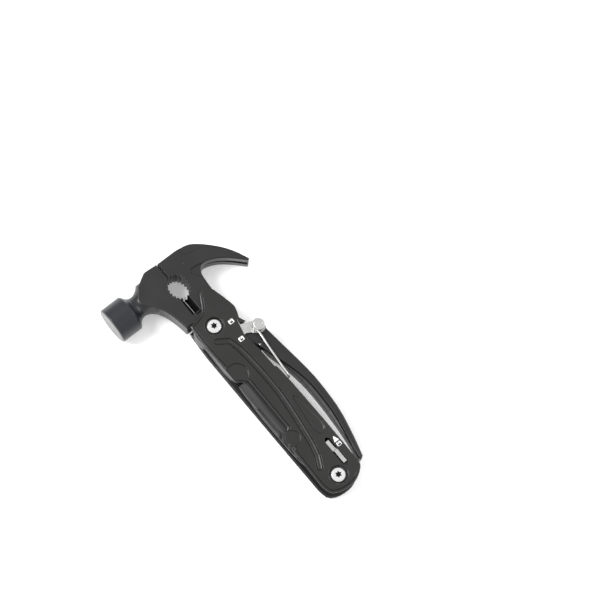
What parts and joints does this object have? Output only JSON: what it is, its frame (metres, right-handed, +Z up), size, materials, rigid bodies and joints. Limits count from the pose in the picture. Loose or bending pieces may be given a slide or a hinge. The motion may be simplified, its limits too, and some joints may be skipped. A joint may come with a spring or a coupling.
{
  "type": "multi tool",
  "caption": "Claw-hammer multi tool with spring-loaded plier jaws, wire cutter, swinging jaw lock and tools that fold into a two-shell handle.",
  "frame": {"origin": "bottom centre of the bounding box, with the tool lying flat and its screw heads up", "axes": "+Y along the handle toward the head, +Z up out of the face with the screw heads, +X toward the claw"},
  "size_m": [0.0794, 0.156, 0.0221],
  "materials": {
    "forged_black": "satin black coating on forged steel",
    "shell_black": "satin black coating on pressed steel",
    "liner_black": "black coated steel",
    "tool_steel": "black oxide on brushed steel",
    "bright_steel": "bright nickel-plated steel"
  },
  "bodies": {
    "handle": {"top_shell": "shell_black", "bottom_shell": "shell_black", "top_liner": "liner_black", "bottom_liner": "liner_black", "latch_catch": "liner_black", "claw_jaw": "forged_black", "pivot_screw": "bright_steel", "pivot_sleeve_nut": "bright_steel", "rear_screw": "bright_steel", "rear_sleeve_nut": "bright_steel", "back_spring": "bright_steel"},
    "lever": {"hammer_jaw_lever": "forged_black", "lock_rivet": "bright_steel", "spring_pin": "bright_steel"},
    "jaw_lock": {"lock_plate": "bright_steel"},
    "torsion_spring": {"lock_spring": "bright_steel"},
    "can_opener": {"can_opener": "tool_steel"},
    "saw_blade": {"saw_blade": "tool_steel"},
    "wood_saw": {"wood_saw": "tool_steel"},
    "knife_blade": {"knife_blade": "tool_steel"},
    "screwdriver_flat": {"screwdriver_flat": "tool_steel"},
    "screwdriver_cross": {"screwdriver_cross": "tool_steel"},
    "tool_lock": {"lock_bar": "bright_steel", "lock_button": "bright_steel"}
  },
  "joints": [
    {"name": "jaw_open", "type": "hinge", "parent": "handle", "child": "lever", "pos_m": [0.00125, 0.03185, 0.0103], "axis": [0, 0, 1], "range_deg": [0, 26]},
    {"name": "lock_turn", "type": "hinge", "parent": "lever", "child": "jaw_lock", "pos_m": [0.01955, 0.01745, 0.0164], "axis": [0, 0, 1], "range_deg": [0, 56]},
    {"name": "spring_turn", "type": "hinge", "parent": "lever", "child": "torsion_spring", "pos_m": [0.01955, 0.01745, 0.0174], "axis": [0, 0, 1], "range_deg": [-35, 0]},
    {"name": "can_opener_fold", "type": "hinge", "parent": "handle", "child": "can_opener", "pos_m": [0.00125, -0.06955, 0.0152], "axis": [0, 0, 1], "range_deg": [0, 170]},
    {"name": "saw_blade_fold", "type": "hinge", "parent": "handle", "child": "saw_blade", "pos_m": [0.00125, -0.06955, 0.0133], "axis": [0, 0, 1], "range_deg": [0, 170]},
    {"name": "wood_saw_fold", "type": "hinge", "parent": "handle", "child": "wood_saw", "pos_m": [0.00125, -0.06955, 0.0113], "axis": [0, 0, 1], "range_deg": [0, 170]},
    {"name": "knife_blade_fold", "type": "hinge", "parent": "handle", "child": "knife_blade", "pos_m": [0.00125, -0.06955, 0.0093], "axis": [0, 0, 1], "range_deg": [0, 170]},
    {"name": "screwdriver_flat_fold", "type": "hinge", "parent": "handle", "child": "screwdriver_flat", "pos_m": [0.00125, -0.06955, 0.0073], "axis": [0, 0, 1], "range_deg": [0, 170]},
    {"name": "screwdriver_cross_fold", "type": "hinge", "parent": "handle", "child": "screwdriver_cross", "pos_m": [0.00125, -0.06955, 0.0054], "axis": [0, 0, 1], "range_deg": [0, 170]},
    {"name": "tool_lock_slide", "type": "slide", "parent": "handle", "child": "tool_lock", "axis": [0, 1, 0], "range_m": [0, 0.003]}
  ],
  "couplings": [
    {"joint": "lock_turn", "follows": "jaw_open", "ratio": 2.1538},
    {"joint": "spring_turn", "follows": "jaw_open", "ratio": -1.33}
  ]
}
